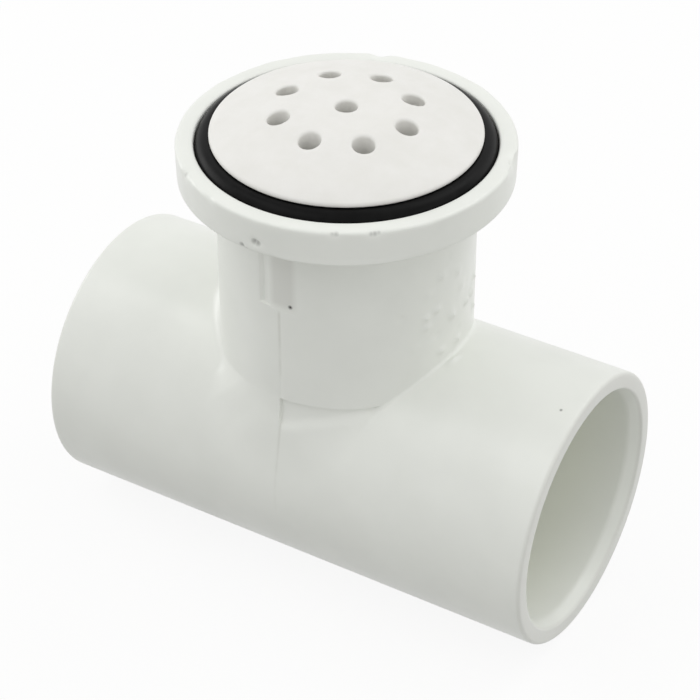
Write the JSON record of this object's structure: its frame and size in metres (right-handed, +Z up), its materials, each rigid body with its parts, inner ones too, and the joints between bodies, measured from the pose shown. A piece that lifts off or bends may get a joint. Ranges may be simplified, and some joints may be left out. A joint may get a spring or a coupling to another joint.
{
  "type": "spa air injector",
  "caption": "Moulded pipe tee with slip sockets and a flanged branch, closed by a rubber ring and a domed, perforated screw-in cap.",
  "frame": {"origin": "under the branch's axis, level with the lowest line of the run's outside", "axes": "+X along the run, +Z up along the branch, out of the flange's sealing face; +Y completes the frame"},
  "size_m": [0.0794, 0.0472, 0.0752],
  "materials": {
    "tee": "satin, as moulded",
    "ring": "satin",
    "cap": "fine moulded matt"
  },
  "bodies": {
    "tee": {"tee_body": "tee"},
    "ring": {"o_ring": "ring"},
    "cap": {"injector_cap": "cap"}
  },
  "joints": [
    {"name": "cap_lift", "type": "slide", "parent": "tee", "child": "ring", "axis": [0, 0, 1], "range_m": [0, 0.015]},
    {"name": "cap_turn", "type": "hinge", "parent": "ring", "child": "cap", "pos_m": [0, 0, 0.07094], "axis": [0, 0, 1], "range_deg": [0, 1800]}
  ],
  "couplings": [
    {"joint": "cap_lift", "follows": "cap_turn", "m_per_rad": 0.00047746}
  ]
}
